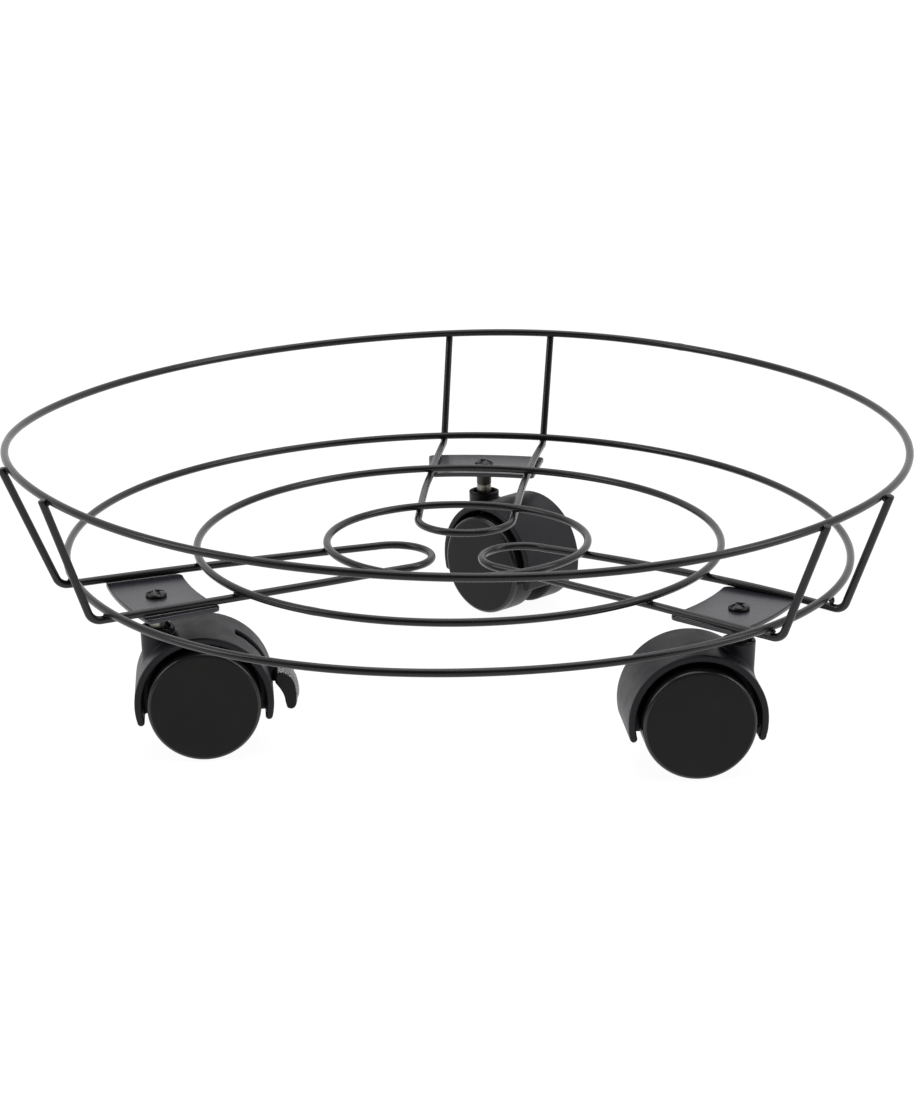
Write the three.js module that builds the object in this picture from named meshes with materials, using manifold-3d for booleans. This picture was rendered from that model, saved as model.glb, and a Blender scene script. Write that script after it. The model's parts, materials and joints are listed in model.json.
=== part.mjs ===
// Plant pot caddy: a round wire cradle on three twin-wheel swivel casters.
// Millimetres, +Z up, floor at Z = 0. The arms point along 90, 210 and 330 degrees.
import * as THREE from 'three';
import { mergeVertices } from 'three/addons/utils/BufferGeometryUtils.js';
import Module from 'manifold-3d';

const wasm = await Module();
wasm.setup();

// ---------------------------------------------------------------- dimensions
const WIRE_R = 1.7;              // 3.4 mm round wire, drawn as an octagon across its flats
const GAP = 0.25;                // clearance between pieces that touch

const RIM_R = 194.7;             // wire-centre radius of the upper ring
const RIM_Z = 119.1;
const RING_Z = 72.3;             // wire-centre height of the three support rings
const RING_OUTER_R = 171.6;
const RING_MIDDLE_R = 114.4;
const RING_INNER_R = 56.6;

const LEG_Z = RING_Z - 2 * WIRE_R - GAP;          // legs pass under the rings
const UPRIGHT_TOP_Z = 119.6;
const LEAN_MEAN = 23.3;          // degrees an upright leans out, used to set it against the rim
const RIM_TWIST = 3.5;           // upright tops stand this far clockwise of the corners
const CORNER_R = 176.3;          // where a leg turns up
const BEND_R = 5.5;              // bend radius of that corner
const LOOP_R = 17.0;             // inner U-bend
const LOOP_C = 32.5;             // its centre, from the caddy's centre
// distance from the centre, half spacing of the two legs
const LEG_SPREAD = [[52, 18.6], [72, 20.7], [92, 22.3], [114, 23.5], [138, 24.6], [160, 25.3]];
const UPRIGHT_HALF = 25.5;

const PLATE_T = 2.0;
const PLATE_R0 = 124.5;
const PLATE_R1 = 158.0;
const PLATE_HALF0 = 25.6;        // half width at the inner edge
const PLATE_HALF1 = 29.0;        // half width at the outer edge
const PLATE_CORNER = 3.0;
const PLATE_TOP = LEG_Z - WIRE_R - GAP;

const STEM_AT = 141.3;           // stem axis, from the caddy's centre
const STEM_R = 3.5;
const SCREW_HEAD_R = 4.5;
const SCREW_HEAD_H = 2.4;
const SCREW_SHANK_R = 2.3;

const WHEEL_R = 24.0;
const WHEEL_IN = 5.6;            // inner and outer faces, from the caster's mid-plane
const WHEEL_OUT = 21.4;
const TRAIL = 18.8;              // axle, behind the stem
const AXLE_R = 2.5;
const AXLE_HALF = 17.0;

const FENDER_OUT = 29.2;
const FENDER_IN = 26.3;
const FENDER_HALF = 16.6;
const FENDER_A0 = -17.5;           // degrees about the axle, trailing tip
const FENDER_A1 = 200;           // stem-side tip
const WEB_HALF = 4.6;
const BOSS_R = 7.1;
const BOSS_TOP = 53.8;
const BORE_R = 3.8;
const CLIP_Z = 49.2;

const PIN_X = 19.0;              // brake pivot, from the axle
const PIN_Z = 6.0;
const PIN_R = 1.4;
const SLOT_HALF = 2.2;
const LEVER_HALF = 1.8;
const TAB_HALF = 6.6;

// arm direction, caster name, direction from stem to axle (degrees)
const CASTERS = [
  { name: 'rear', arm: 90, yaw: -41.2, brake: false },
  { name: 'left', arm: 210, yaw: 10.0, brake: true },
  { name: 'right', arm: 330, yaw: 190.0, brake: false },
];

// ---------------------------------------------------------------- materials
const paint = (color, roughness, metalness) => () => new THREE.MeshStandardMaterial({ color, roughness, metalness });
const powderCoat = paint(0x222222, 0.45, 0.2);
const greyCoat = paint(0x6c6d70, 0.42, 0.5);
const zinc = paint(0xa9a79a, 0.35, 0.9);
const blackScrew = paint(0x1d1d1e, 0.4, 0.6);
const hoodPlastic = paint(0x2d2d2e, 0.6, 0.0);
const wheelPlastic = paint(0x21211f, 0.5, 0.0);
const leverPlastic = paint(0x67676a, 0.55, 0.0);
const springSteel = paint(0x8a8a88, 0.4, 0.9);

// ---------------------------------------------------------------- helpers
const deg = Math.PI / 180;

function strip(geometry) {
  const g = geometry.index ? geometry : geometry.clone();
  g.deleteAttribute('normal');
  if (g.getAttribute('uv')) g.deleteAttribute('uv');
  return mergeVertices(g, 1e-4);
}

function solid(geometry, matrix) {
  const g = strip(geometry);
  if (matrix) g.applyMatrix4(matrix);
  const mesh = new wasm.Mesh({
    numProp: 3,
    vertProperties: new Float32Array(g.getAttribute('position').array),
    triVerts: new Uint32Array(g.getIndex().array),
  });
  mesh.merge();
  return new wasm.Manifold(mesh);
}

function toGeometry(manifold) {
  const m = manifold.getMesh();
  const g = new THREE.BufferGeometry();
  g.setAttribute('position', new THREE.BufferAttribute(new Float32Array(m.vertProperties), 3));
  g.setIndex(new THREE.BufferAttribute(new Uint32Array(m.triVerts), 1));
  g.computeVertexNormals();
  return g;
}

const shift = (x, y, z) => new THREE.Matrix4().makeTranslation(x, y, z);
const rotX = (a) => new THREE.Matrix4().makeRotationX(a);

// Solid of revolution about Z through (x, y), from [radius, z] pairs.
function turned(profile, segments, x = 0, y = 0) {
  const g = new THREE.LatheGeometry(profile.map(([r, z]) => new THREE.Vector2(r, z)), segments);
  g.applyMatrix4(rotX(Math.PI / 2));
  g.applyMatrix4(shift(x, y, 0));
  return g;
}

// Solid of revolution about the caster's axle (local Y), from [radius, y] pairs.
function onAxle(profile, segments, x, z) {
  const g = new THREE.LatheGeometry(profile.map(([r, y]) => new THREE.Vector2(r, y)), segments);
  g.applyMatrix4(new THREE.Matrix4().makeRotationY(Math.PI / segments));
  g.applyMatrix4(shift(x, 0, z));
  return g;
}

const drum = (r, y0, y1, x, z, n) => onAxle([[0, y0], [r, y0], [r, y1], [0, y1]], n, x, z);
const post = (r, z0, z1, n) => turned([[0, z0], [r, z0], [r, z1], [0, z1]], n);

// Slab drawn in the caster's X-Z plane and thickened to +-half along Y.
function slab(points, half) {
  const s = new THREE.Shape(points.map(([x, z]) => new THREE.Vector2(x, -z)));
  const g = new THREE.ExtrudeGeometry(s, { depth: 2 * half, bevelEnabled: false, steps: 1 });
  g.applyMatrix4(shift(0, 0, -half));
  g.applyMatrix4(rotX(-Math.PI / 2));
  return g;
}

function arc(cx, cz, r, a0, a1, n) {
  const out = [];
  for (let i = 0; i <= n; i++) {
    const a = (a0 + (a1 - a0) * i / n) * deg;
    out.push([cx + r * Math.cos(a), cz + r * Math.sin(a)]);
  }
  return out;
}

// Octagon across its flats, so that rings have a level top.
const OCT = Array.from({ length: 8 }, (_, i) => {
  const a = (i + 0.5) * 45 * deg;
  const r = WIRE_R / Math.cos(22.5 * deg);
  return [r * Math.cos(a), r * Math.sin(a)];
});

// Ring of wire: closed octagon turned about Z.
function wireRing(radius, z, segments) {
  const profile = OCT.map(([x, y]) => [radius + x, z + y]);
  profile.push(profile[0]);
  return toGeometry(solid(turned(profile, segments)));
}

// Path through given stations, one section at each.
class WirePath extends THREE.Curve {
  constructor(points) {
    super();
    this.stations = points;
  }
  getPoint(t, target = new THREE.Vector3()) {
    const n = this.stations.length - 1;
    const i = Math.min(Math.floor(t * n + 1e-9), n - 1);
    return target.copy(this.stations[i]).lerp(this.stations[i + 1], t * n - i);
  }
  getPointAt(u, target) {
    return this.getPoint(u, target);
  }
  getTangentAt(u, target = new THREE.Vector3()) {
    const n = this.stations.length - 1;
    const i = Math.round(u * n);
    const a = this.stations[Math.max(i - 1, 0)];
    const b = this.stations[Math.min(i + 1, n)];
    const c = this.stations[i];
    const before = new THREE.Vector3().subVectors(c, a).normalize();
    const after = new THREE.Vector3().subVectors(b, c).normalize();
    return target.addVectors(before, after).normalize();
  }
}

function wireAlong(points) {
  const section = new THREE.Shape(OCT.map(([x, y]) => new THREE.Vector2(x, y)));
  return new THREE.ExtrudeGeometry(section, {
    steps: points.length - 1,
    extrudePath: new WirePath(points),
    bevelEnabled: false,
  });
}

// ---------------------------------------------------------------- frame wires
// One half of a hairpin arm, from its upright's top to the middle of the U-bend; local X is radial.
// side is 1 for the anticlockwise half and -1 for the clockwise half, drawn as its mirror image.
function armHalf(side) {
  // the wire passes just outside the rim, wherever the twist puts it
  const past = RIM_R + (2 * WIRE_R + GAP) / Math.cos(LEAN_MEAN * deg);
  const uprightR = Math.sqrt(past ** 2 - (UPRIGHT_HALF - side * RIM_TWIST) ** 2);
  const lean = Math.atan2(uprightR - CORNER_R, RIM_Z - LEG_Z);
  const turn = Math.PI / 2 - lean;
  const tangent = BEND_R * Math.tan(turn / 2);
  const topR = CORNER_R + (UPRIGHT_TOP_Z - LEG_Z) * Math.tan(lean);
  const sway = (z) => side * RIM_TWIST * (z - LEG_Z) / (RIM_Z - LEG_Z);
  const pts = [new THREE.Vector3(topR, UPRIGHT_HALF - sway(UPRIGHT_TOP_Z), UPRIGHT_TOP_Z)];
  const bendX = CORNER_R - tangent;
  const n = 5;
  for (let i = 0; i <= n; i++) {
    const a = turn * (1 - i / n);
    const z = LEG_Z + BEND_R * (1 - Math.cos(a));
    pts.push(new THREE.Vector3(bendX + BEND_R * Math.sin(a), UPRIGHT_HALF - sway(z), z));
  }
  for (let i = LEG_SPREAD.length - 1; i >= 0; i--) pts.push(new THREE.Vector3(LEG_SPREAD[i][0], LEG_SPREAD[i][1], LEG_Z));
  const m = 7;
  const start = -3.5 * deg;
  for (let i = 0; i < m; i++) {
    const a = start + (Math.PI / 2 - start) * i / m;
    pts.push(new THREE.Vector3(LOOP_C - LOOP_R * Math.sin(a), LOOP_R * Math.cos(a), LEG_Z));
  }
  return pts;
}

function armWire() {
  const tip = new THREE.Vector3(LOOP_C - LOOP_R, 0, LEG_Z);
  const other = armHalf(-1).map((p) => new THREE.Vector3(p.x, -p.y, p.z)).reverse();
  return wireAlong([...armHalf(1), tip, ...other]);
}

// ---------------------------------------------------------------- plates and fasteners
function plateOutline() {
  const slope = (PLATE_HALF1 - PLATE_HALF0) / (PLATE_R1 - PLATE_R0);
  const halfAt = (x) => PLATE_HALF0 + (x - PLATE_R0) * slope;
  const pts = [];
  const c = PLATE_CORNER;
  const a1 = Math.asin((PLATE_HALF1 - c) / PLATE_R1);
  const a0 = Math.asin((PLATE_HALF0 - c) / PLATE_R0);
  const outer = arc(0, 0, PLATE_R1, -a1 / deg, a1 / deg, 8);
  const inner = arc(0, 0, PLATE_R0, a0 / deg, -a0 / deg, 6);
  const xo = PLATE_R1 * Math.cos(a1);
  const xi = PLATE_R0 * Math.cos(a0);
  pts.push(...outer);
  pts.push([xo - 0.7, PLATE_HALF1 - 0.8], [xo - c, halfAt(xo - c)]);
  pts.push([xi + c, halfAt(xi + c)], [xi + 0.7, PLATE_HALF0 - 0.8]);
  pts.push(...inner);
  pts.push([xi + 0.7, -PLATE_HALF0 + 0.8], [xi + c, -halfAt(xi + c)]);
  pts.push([xo - c, -halfAt(xo - c)], [xo - 0.7, -PLATE_HALF1 + 0.8]);
  return pts;
}

function casterPlate() {
  const s = new THREE.Shape(plateOutline().map(([x, y]) => new THREE.Vector2(x, y)));
  const hole = new THREE.Path();
  hole.absarc(STEM_AT, 0, SCREW_SHANK_R + 0.3, 0, 2 * Math.PI, true);
  s.holes.push(hole);
  const g = new THREE.ExtrudeGeometry(s, { depth: PLATE_T, bevelEnabled: false, steps: 1, curveSegments: 16 });
  g.applyMatrix4(shift(0, 0, PLATE_TOP - PLATE_T));
  return g;
}

function plateScrew() {
  const z = PLATE_TOP + GAP;
  const h = SCREW_HEAD_H;
  const head = solid(turned([
    [0, PLATE_TOP - 12], [SCREW_SHANK_R, PLATE_TOP - 12], [SCREW_SHANK_R, z], [SCREW_HEAD_R, z],
    [SCREW_HEAD_R, z + 0.9], [SCREW_HEAD_R * 0.86, z + 1.8], [SCREW_HEAD_R * 0.5, z + h], [0, z + h + 0.1],
  ], 16));
  const arm = (turn) => {
    const g = new THREE.BoxGeometry(5.6, 1.1, 2.4);
    g.applyMatrix4(new THREE.Matrix4().makeRotationZ(turn));
    return solid(g, shift(0, 0, z + h + 0.1));
  };
  return toGeometry(head.subtract(arm(0.35)).subtract(arm(0.35 + Math.PI / 2)));
}

function stem() {
  const top = PLATE_TOP - PLATE_T - GAP;
  const r = STEM_R;
  return turned([
    [0, 28.0], [2.6, 28.0], [r, 29.0], [r, CLIP_Z - 0.8], [r - 0.6, CLIP_Z - 0.8], [r - 0.6, CLIP_Z + 0.8],
    [r, CLIP_Z + 0.8], [r, top], [SCREW_SHANK_R + 0.25, top], [SCREW_SHANK_R + 0.25, PLATE_TOP - 13.0], [0, PLATE_TOP - 13.0],
  ], 20);
}

function stemClip() {
  const r0 = STEM_R - 0.35;
  const r1 = STEM_R + 0.75;
  const h = 0.5;
  return turned([[r0, CLIP_Z - h], [r1, CLIP_Z - h], [r1, CLIP_Z + h], [r0, CLIP_Z + h], [r0, CLIP_Z - h]], 20);
}

// ---------------------------------------------------------------- casters, local X from stem to axle
function hood(brake) {
  const ax = TRAIL;
  const az = WHEEL_R;
  const shellOuter = arc(ax, az, FENDER_OUT, FENDER_A0, FENDER_A1, 26);
  const shellInner = arc(ax, az, FENDER_IN, FENDER_A1, FENDER_A0, 26);
  let body = solid(slab([...shellOuter, ...shellInner], FENDER_HALF));
  // mid-plane web between the wheels, from the axle hub up into the shell
  const webPts = arc(ax, az, FENDER_IN + 1.4, -9, 196, 22);
  webPts.push([ax - 7.5, az - 8.5], [ax + 7.5, az - 8.5]);
  body = body.add(solid(slab(webPts, WEB_HALF)));
  // stem column, only where it stands clear of the wheels
  const column = solid(post(BOSS_R, 24, BOSS_TOP, 28)).subtract(solid(drum(FENDER_IN + 0.6, -24, 24, ax, az, 48)));
  body = body.add(column);
  body = body.subtract(solid(post(BORE_R, 27.4, BOSS_TOP + 1, 24)));
  body = body.subtract(solid(post(BORE_R + 0.85, CLIP_Z - 0.9, CLIP_Z + 0.9, 24)));
  body = body.subtract(solid(turned([[0, BOSS_TOP - 1.4], [BOSS_R - 1.7, BOSS_TOP - 1.4], [BOSS_R - 1.3, BOSS_TOP + 1], [0, BOSS_TOP + 1]], 24)));
  body = body.subtract(solid(drum(AXLE_R + 0.2, -10, 10, ax, az, 20)));
  if (brake) {
    const sweep = [...arc(ax, az, FENDER_OUT + 3, 1, 62, 12), [ax + 10.5, az + 17.5], [ax + 12.5, az + 2.0], [ax + 20, az - 0.5]];
    body = body.subtract(solid(slab(sweep, SLOT_HALF)));
    body = body.subtract(solid(drum(PIN_R + 0.2, -10, 10, ax + PIN_X, az + PIN_Z, 14)));
  }
  return toGeometry(body);
}

function wheel(side) {
  const k = 1 / Math.cos(Math.PI / 32);       // flats of the outline lie on the true radius
  const profile = [
    [0, WHEEL_OUT - 0.9], [17.0, WHEEL_OUT - 0.9], [18.0, WHEEL_OUT], [(WHEEL_R - 1.9) * k, WHEEL_OUT],
    [(WHEEL_R - 0.6) * k, WHEEL_OUT - 0.7], [WHEEL_R * k, WHEEL_OUT - 2.2], [WHEEL_R * k, WHEEL_IN + 0.9],
    [(WHEEL_R - 0.9) * k, WHEEL_IN], [AXLE_R + 0.3, WHEEL_IN], [AXLE_R + 0.3, AXLE_HALF + 0.5], [0, AXLE_HALF + 0.5],
  ];
  profile.reverse();
  const g = onAxle(profile, 32, 0, 0);
  return toGeometry(side > 0 ? solid(g) : solid(g, rotX(Math.PI)));
}

function axle() {
  return drum(AXLE_R, -AXLE_HALF, AXLE_HALF, 0, 0, 20);
}

function brakeLever() {
  // arm in the slot, drawn about the axle
  const armPts = [
    [PIN_X - 3.2, PIN_Z - 1.6], [PIN_X - 1.2, PIN_Z - 3.3], [PIN_X + 3.0, PIN_Z - 3.0], [28.6, 3.4], [32.0, 3.6],
    [33.0, 6.8], [30.5, 8.2], [26.0, 9.2], [PIN_X + 1.0, PIN_Z + 3.2], [PIN_X - 2.2, PIN_Z + 2.6],
  ];
  const tabPts = [
    [29.7, 6.0], [30.6, 8.6], [33.2, 8.2], [36.4, 6.0], [38.7, 3.0], [40.0, -1.0], [39.8, -4.6], [38.9, -7.2],
    [37.2, -8.3], [35.8, -7.6], [35.3, -5.2], [34.9, -1.4], [32.6, 2.8],
  ];
  let lever = solid(slab(armPts, LEVER_HALF)).add(solid(slab(tabPts, TAB_HALF)));
  lever = lever.subtract(solid(drum(PIN_R + 0.25, -4, 4, PIN_X, PIN_Z, 14)));
  return toGeometry(lever);
}

function brakePin() {
  return drum(PIN_R, -WEB_HALF + 0.1, WEB_HALF - 0.1, PIN_X, PIN_Z, 12);
}

// ---------------------------------------------------------------- assembly
const caddy = new THREE.Group();
caddy.name = 'plant_pot_caddy';

function piece(parent, name, geometry, material, x = 0, y = 0, z = 0) {
  const mesh = new THREE.Mesh(geometry, material());
  mesh.name = name;
  mesh.position.set(x, y, z);
  parent.add(mesh);
  return mesh;
}

piece(caddy, 'rim_ring', wireRing(RIM_R, RIM_Z, 72), powderCoat);
piece(caddy, 'base_ring_outer', wireRing(RING_OUTER_R, RING_Z, 60), powderCoat);
piece(caddy, 'base_ring_middle', wireRing(RING_MIDDLE_R, RING_Z, 48), powderCoat);
piece(caddy, 'base_ring_inner', wireRing(RING_INNER_R, RING_Z, 32), powderCoat);

for (const c of CASTERS) {
  const arm = new THREE.Group();
  arm.rotation.z = c.arm * deg;
  caddy.add(arm);
  piece(arm, `arm_wire_${c.name}`, armWire(), powderCoat);
  piece(arm, `caster_plate_${c.name}`, casterPlate(), greyCoat);

  const swivel = new THREE.Group();
  swivel.position.set(STEM_AT * Math.cos(c.arm * deg), STEM_AT * Math.sin(c.arm * deg), 0);
  swivel.rotation.z = c.yaw * deg;
  caddy.add(swivel);
  piece(swivel, `plate_screw_${c.name}`, plateScrew(), blackScrew);
  piece(swivel, `stem_${c.name}`, stem(), zinc);
  piece(swivel, `stem_clip_${c.name}`, stemClip(), springSteel);
  piece(swivel, `hood_${c.name}`, hood(c.brake), hoodPlastic);
  piece(swivel, `axle_${c.name}`, axle(), springSteel, TRAIL, 0, WHEEL_R);
  piece(swivel, `wheel_${c.name}_a`, wheel(1), wheelPlastic, TRAIL, 0, WHEEL_R);
  piece(swivel, `wheel_${c.name}_b`, wheel(-1), wheelPlastic, TRAIL, 0, WHEEL_R);
  if (c.brake) {
    piece(swivel, 'brake_lever', brakeLever(), leverPlastic, TRAIL, 0, WHEEL_R);
    piece(swivel, 'brake_pin', brakePin(), springSteel, TRAIL, 0, WHEEL_R);
  }
}

// Centre the whole caddy over the origin and stand it on Z = 0.
caddy.updateMatrixWorld(true);
const box = new THREE.Box3().setFromObject(caddy, true);
caddy.position.set(-(box.min.x + box.max.x) / 2, -(box.min.y + box.max.y) / 2, -box.min.z);
caddy.updateMatrixWorld(true);

export default caddy;
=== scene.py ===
# Visual model of the plant pot caddy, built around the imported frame.
# Lengths below are millimetres unless a name says otherwise; meshes are written in metres.
import json
import math

import bpy
import numpy as np
from mathutils import Matrix, Vector


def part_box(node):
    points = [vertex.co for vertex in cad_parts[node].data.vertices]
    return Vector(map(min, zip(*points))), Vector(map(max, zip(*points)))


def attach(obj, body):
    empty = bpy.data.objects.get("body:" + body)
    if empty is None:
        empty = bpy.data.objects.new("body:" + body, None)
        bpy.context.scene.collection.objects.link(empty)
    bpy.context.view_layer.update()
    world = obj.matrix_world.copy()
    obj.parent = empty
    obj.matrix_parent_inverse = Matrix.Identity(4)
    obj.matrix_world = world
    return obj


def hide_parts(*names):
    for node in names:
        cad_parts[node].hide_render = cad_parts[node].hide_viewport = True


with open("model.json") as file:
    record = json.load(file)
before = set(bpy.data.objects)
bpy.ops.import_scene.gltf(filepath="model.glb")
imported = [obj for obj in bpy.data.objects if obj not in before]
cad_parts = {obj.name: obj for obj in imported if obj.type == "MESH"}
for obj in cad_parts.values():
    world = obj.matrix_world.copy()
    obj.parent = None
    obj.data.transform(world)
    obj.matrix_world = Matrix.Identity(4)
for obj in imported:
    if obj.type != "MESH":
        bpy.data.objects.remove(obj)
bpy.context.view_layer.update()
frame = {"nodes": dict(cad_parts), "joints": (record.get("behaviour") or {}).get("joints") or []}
NODES = frame["nodes"]
JOINTS = {j["name"]: j for j in frame["joints"]}
MM = 0.001
RNG = np.random.default_rng(7)


def node_box(name):
    lo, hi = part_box(name)
    return np.array(lo, float) / MM, np.array(hi, float) / MM


# ------------------------------------------------------------------ places from the frame
lo, hi = node_box("base_ring_outer")
CENTRE = np.array([(lo[0] + hi[0]) / 2, (lo[1] + hi[1]) / 2])
RING_Z = (lo[2] + hi[2]) / 2
WIRE_R = (hi[2] - lo[2]) / 2
OUTER_R = (hi[0] - lo[0]) / 2 - WIRE_R


def ring_of(name):
    a, b = node_box(name)
    return (b[0] - a[0]) / 2 - WIRE_R, (a[2] + b[2]) / 2


MIDDLE_R, _ = ring_of("base_ring_middle")
INNER_R, _ = ring_of("base_ring_inner")
RIM_R, RIM_Z = ring_of("rim_ring")
LEG_Z = node_box("arm_wire_rear")[0][2] + WIRE_R
PLATE_Z0, PLATE_Z1 = node_box("caster_plate_rear")[0][2], node_box("caster_plate_rear")[1][2]
SEAT = 0.3                      # the frame rests this much higher on its stems than nominal
RING_Z, RIM_Z, LEG_Z, PLATE_Z0, PLATE_Z1 = (v + SEAT for v in (RING_Z, RIM_Z, LEG_Z, PLATE_Z0, PLATE_Z1))
WHEEL_R = node_box("wheel_rear_a")[1][2] / 2
BOSS_TOP = node_box("hood_rear")[1][2]

TRAIL = 18.8
FENDER_OUT, FENDER_IN, FENDER_HALF = 29.4, 26.3, 17.5
WHEEL_IN, WHEEL_OUT = 5.6, 21.4
CASTERS = {"rear": 90.0, "left": 210.0, "right": 330.0}


def swivel_frame(name):
    j = JOINTS["swivel_" + name]
    s = JOINTS["spin_" + name + "_a"]
    p = np.array(j["pos_m"], float) / MM
    v = np.array(s["axis"], float)
    u = np.array([v[1], -v[0], 0.0])
    m = np.eye(4)
    m[:3, 0], m[:3, 1], m[:3, 2] = u, v, (0, 0, 1)
    m[:3, 3] = (p[0], p[1], 0.0)
    return m


def arm_frame(name):
    a = math.radians(CASTERS[name])
    m = np.eye(4)
    m[:3, 0] = (math.cos(a), math.sin(a), 0)
    m[:3, 1] = (-math.sin(a), math.cos(a), 0)
    m[:3, 3] = (CENTRE[0], CENTRE[1], 0)
    return m


MID = np.eye(4)
MID[:3, 3] = (CENTRE[0], CENTRE[1], 0)


# ------------------------------------------------------------------ materials
def material(name):
    m = bpy.data.materials.new(name)
    m.use_nodes = True
    nt = m.node_tree
    nt.nodes.clear()
    out = nt.nodes.new("ShaderNodeOutputMaterial")
    p = nt.nodes.new("ShaderNodeBsdfPrincipled")
    nt.links.new(p.outputs[0], out.inputs[0])
    tc = nt.nodes.new("ShaderNodeTexCoord")
    return m, nt, p, tc.outputs["Object"]


def noise(nt, vec, scale, detail=2.0, rough=0.5):
    n = nt.nodes.new("ShaderNodeTexNoise")
    n.inputs["Scale"].default_value = scale
    n.inputs["Detail"].default_value = detail
    n.inputs["Roughness"].default_value = rough
    nt.links.new(vec, n.inputs["Vector"])
    return n.outputs[0]


def voronoi(nt, vec, scale, feature="F1"):
    n = nt.nodes.new("ShaderNodeTexVoronoi")
    n.feature = feature
    n.inputs["Scale"].default_value = scale
    nt.links.new(vec, n.inputs["Vector"])
    return n.outputs["Distance"]


def ramp(nt, fac, stops):
    r = nt.nodes.new("ShaderNodeValToRGB")
    cr = r.color_ramp
    while len(cr.elements) < len(stops):
        cr.elements.new(0.5)
    for e, (pos, col) in zip(cr.elements, stops):
        e.position = pos
        e.color = (*col, 1.0) if len(col) == 3 else col
    nt.links.new(fac, r.inputs[0])
    return r.outputs[0]


def span(nt, fac, a, b, c, d):
    r = nt.nodes.new("ShaderNodeMapRange")
    for i, v in zip(("From Min", "From Max", "To Min", "To Max"), (a, b, c, d)):
        r.inputs[i].default_value = v
    nt.links.new(fac, r.inputs["Value"])
    return r.outputs[0]


def mix_colour(nt, fac, a, b):
    n = nt.nodes.new("ShaderNodeMix")
    n.data_type = "RGBA"
    nt.links.new(fac, n.inputs[0])
    for sock, v in ((n.inputs[6], a), (n.inputs[7], b)):
        if isinstance(v, tuple):
            sock.default_value = (*v, 1.0)
        else:
            nt.links.new(v, sock)
    return n.outputs[2]


def bump(nt, p, height, strength, distance, under=None):
    b = nt.nodes.new("ShaderNodeBump")
    b.inputs["Strength"].default_value = strength
    b.inputs["Distance"].default_value = distance
    nt.links.new(height, b.inputs["Height"])
    if under is not None:
        nt.links.new(under, b.inputs["Normal"])
    nt.links.new(b.outputs[0], p.inputs["Normal"])
    return b.outputs[0]


def powder_coat(name, dark, light, r0, r1, peel):
    m, nt, p, v = material(name)
    big = noise(nt, v, 60.0, 3.0)
    fine = noise(nt, v, 1400.0, 2.0)
    nt.links.new(ramp(nt, big, [(0.3, dark), (0.75, light)]), p.inputs["Base Color"])
    nt.links.new(span(nt, big, 0.3, 0.7, r0, r1), p.inputs["Roughness"])
    b = bump(nt, p, fine, peel, 0.00006)
    bump(nt, p, noise(nt, v, 420.0, 1.0), 0.5 * peel, 0.0002, b)
    p.inputs["IOR"].default_value = 1.5
    return m


def moulded(name, dark, light, r0, r1, grain_scale, grain, size):
    m, nt, p, v = material(name)
    big = noise(nt, v, 35.0, 4.0)
    nt.links.new(ramp(nt, big, [(0.3, dark), (0.72, light)]), p.inputs["Base Color"])
    nt.links.new(span(nt, noise(nt, v, 120.0, 3.0), 0.3, 0.7, r0, r1), p.inputs["Roughness"])
    g = voronoi(nt, v, grain_scale)
    b = bump(nt, p, g, grain, size)
    bump(nt, p, noise(nt, v, grain_scale * 0.6, 3.0), grain * 0.7, size, b)
    p.inputs["IOR"].default_value = 1.46
    return m


M_WIRE = powder_coat("wire_black_coat", (0.0045, 0.0045, 0.0047), (0.0080, 0.0080, 0.0082), 0.21, 0.31, 0.12)
M_PLATE = powder_coat("plate_grey_coat", (0.0125, 0.0125, 0.0185), (0.0165, 0.0165, 0.0235), 0.25, 0.31, 0.05)
M_HOOD = moulded("hood_charcoal_plastic", (0.0098, 0.0095, 0.0125), (0.0140, 0.0136, 0.0172), 0.40, 0.50, 2600.0, 0.22, 0.00008)
# light grey grip colour on the knurl's raised points is a painted highlight, with the dark lever colour left in the
# grooves as painted shade
M_GRIP_HIGHLIGHT = moulded("lever_grip_painted_highlight", (0.23, 0.23, 0.233), (0.35, 0.35, 0.354), 0.30, 0.42, 1900.0, 0.15, 0.00006)
M_WHEEL = moulded("wheel_black_plastic", (0.0045, 0.0044, 0.0041), (0.0068, 0.0066, 0.0061), 0.34, 0.42, 1500.0, 0.08, 0.00005)
# the wheel edge's lighter base colour is a painted highlight; its lower roughness and stronger specular make the edge
# glossier
M_WHEEL_EDGE_HIGHLIGHT = moulded("wheel_edge_painted_highlight", (0.0062, 0.0062, 0.0060), (0.0100, 0.0100, 0.0096), 0.20, 0.28, 1500.0, 0.04, 0.00003)
M_LEVER = moulded("lever_black_plastic", (0.0050, 0.0050, 0.0053), (0.0080, 0.0080, 0.0084), 0.32, 0.42, 1900.0, 0.15, 0.00006)
M_WHEEL.node_tree.nodes["Principled BSDF"].inputs["Specular IOR Level"].default_value = 0.21
M_WHEEL_EDGE_HIGHLIGHT.node_tree.nodes["Principled BSDF"].inputs["Specular IOR Level"].default_value = 0.5
M_LEVER.node_tree.nodes["Principled BSDF"].inputs["Specular IOR Level"].default_value = 0.2
M_HOOD.node_tree.nodes["Principled BSDF"].inputs["Specular IOR Level"].default_value = 0.25
M_WIRE.node_tree.nodes["Principled BSDF"].inputs["Specular IOR Level"].default_value = 0.38


def metal(name, dark, light, r0, r1, stretch):
    m, nt, p, v = material(name)
    mp = nt.nodes.new("ShaderNodeMapping")
    mp.inputs["Scale"].default_value = stretch
    nt.links.new(v, mp.inputs["Vector"])
    lines = noise(nt, mp.outputs[0], 900.0, 3.0)
    cloud = noise(nt, v, 300.0, 3.0)
    nt.links.new(ramp(nt, cloud, [(0.3, dark), (0.7, light)]), p.inputs["Base Color"])
    nt.links.new(span(nt, lines, 0.3, 0.7, r0, r1), p.inputs["Roughness"])
    p.inputs["Metallic"].default_value = 1.0
    bump(nt, p, lines, 0.25, 0.00003)
    return m


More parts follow.
